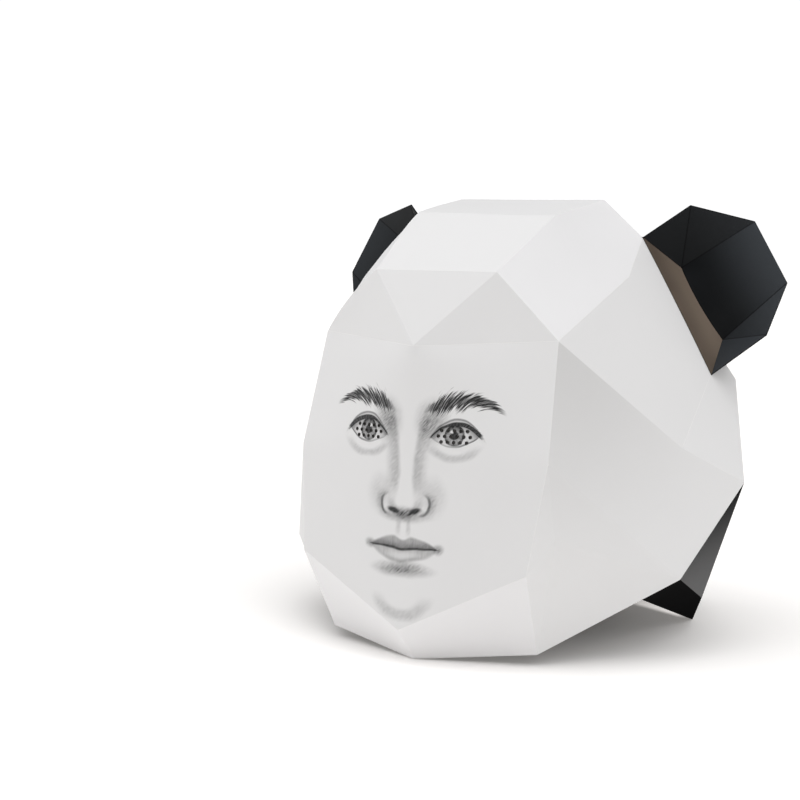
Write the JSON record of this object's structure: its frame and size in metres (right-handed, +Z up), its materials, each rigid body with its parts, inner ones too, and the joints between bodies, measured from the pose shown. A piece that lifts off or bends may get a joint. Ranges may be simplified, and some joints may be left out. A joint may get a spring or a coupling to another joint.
{
  "type": "paper mask",
  "caption": "Whole-head mask of folded card: white faceted bear-like head with a bowed face sheet, punched eye holes, black dish ears and a black nape, open below.",
  "frame": {"origin": "middle of the mask's box, on the floor that it stands on", "axes": "+Z up, the face looks along -Y, +X is the wearer's left and the axis across the mirror plane"},
  "size_m": [0.3562, 0.288, 0.3],
  "materials": {
    "white_card": "smooth white card, matt with a faint satin sheen",
    "printed_card": "the same white card with a grey pencil-style print",
    "black_card": "black satin card with a white core at the cut edges",
    "taupe_card": "brown-grey satin card"
  },
  "bodies": {
    "root": {"face": "printed_card", "forehead": "white_card", "crown": "white_card", "chin": "white_card", "back": "white_card", "temple_left": "white_card", "temple_right": "white_card", "cheek_left": "white_card", "cheek_right": "white_card", "side_left": "white_card", "side_right": "white_card", "nape_left": "black_card", "nape_right": "black_card", "nape_back": "black_card", "ear_left": "black_card", "ear_right": "black_card", "ear_root_left": "taupe_card", "ear_root_right": "taupe_card"}
  },
  "joints": []
}
